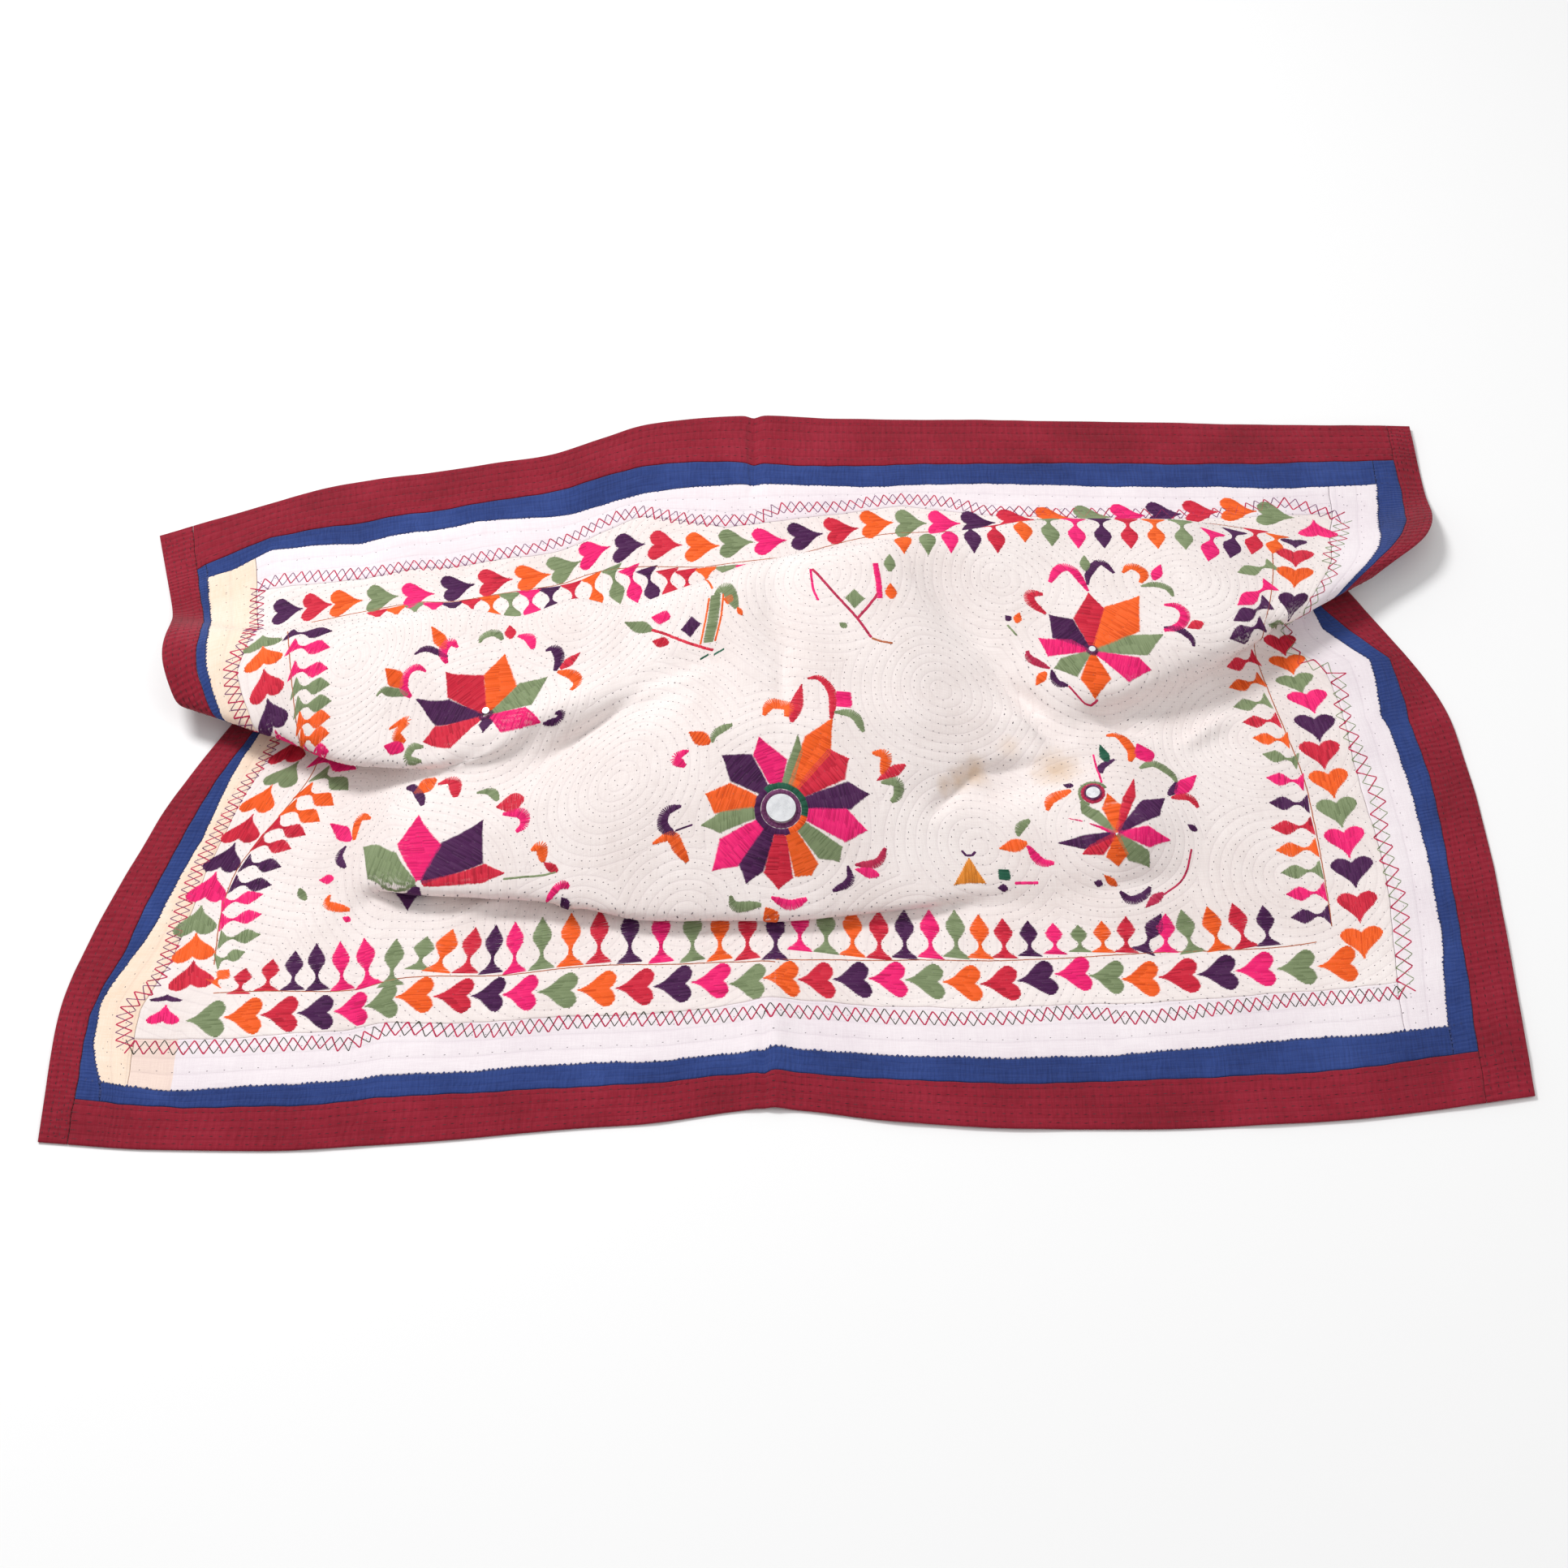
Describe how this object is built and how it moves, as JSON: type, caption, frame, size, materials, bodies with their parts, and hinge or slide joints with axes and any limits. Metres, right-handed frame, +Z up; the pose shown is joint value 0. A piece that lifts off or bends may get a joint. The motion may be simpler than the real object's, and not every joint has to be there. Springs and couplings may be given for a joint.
{
  "type": "banjara embroidered textile",
  "caption": "Crumpled quilted cotton cover with bordered edges, embroidered hearts, rosettes and birds, and small round mirrors.",
  "frame": {"origin": "on the surface that the cover lies on, under the middle of its footprint", "axes": "+X to the cover's right along its long side, +Y to its rear edge, +Z up"},
  "size_m": [1.0117, 0.705, 0.0763],
  "materials": {
    "cream": "quilted cotton",
    "white": "plain cotton",
    "peach": "plain cotton",
    "blue": "plain cotton",
    "crimson": "plain cotton",
    "silvered": "small silvered glass"
  },
  "bodies": {
    "root": {"ground": "cream", "band_front": "white", "band_rear": "white", "band_left": "peach", "band_right": "white", "blue_front": "blue", "blue_rear": "blue", "blue_left": "blue", "blue_right": "blue", "crimson_front": "crimson", "crimson_rear": "crimson", "crimson_left": "crimson", "crimson_right": "crimson", "mirror_centre": "silvered", "mirror_front_right": "silvered", "mirror_rear_left": "silvered", "mirror_rear_right": "silvered"}
  },
  "joints": []
}
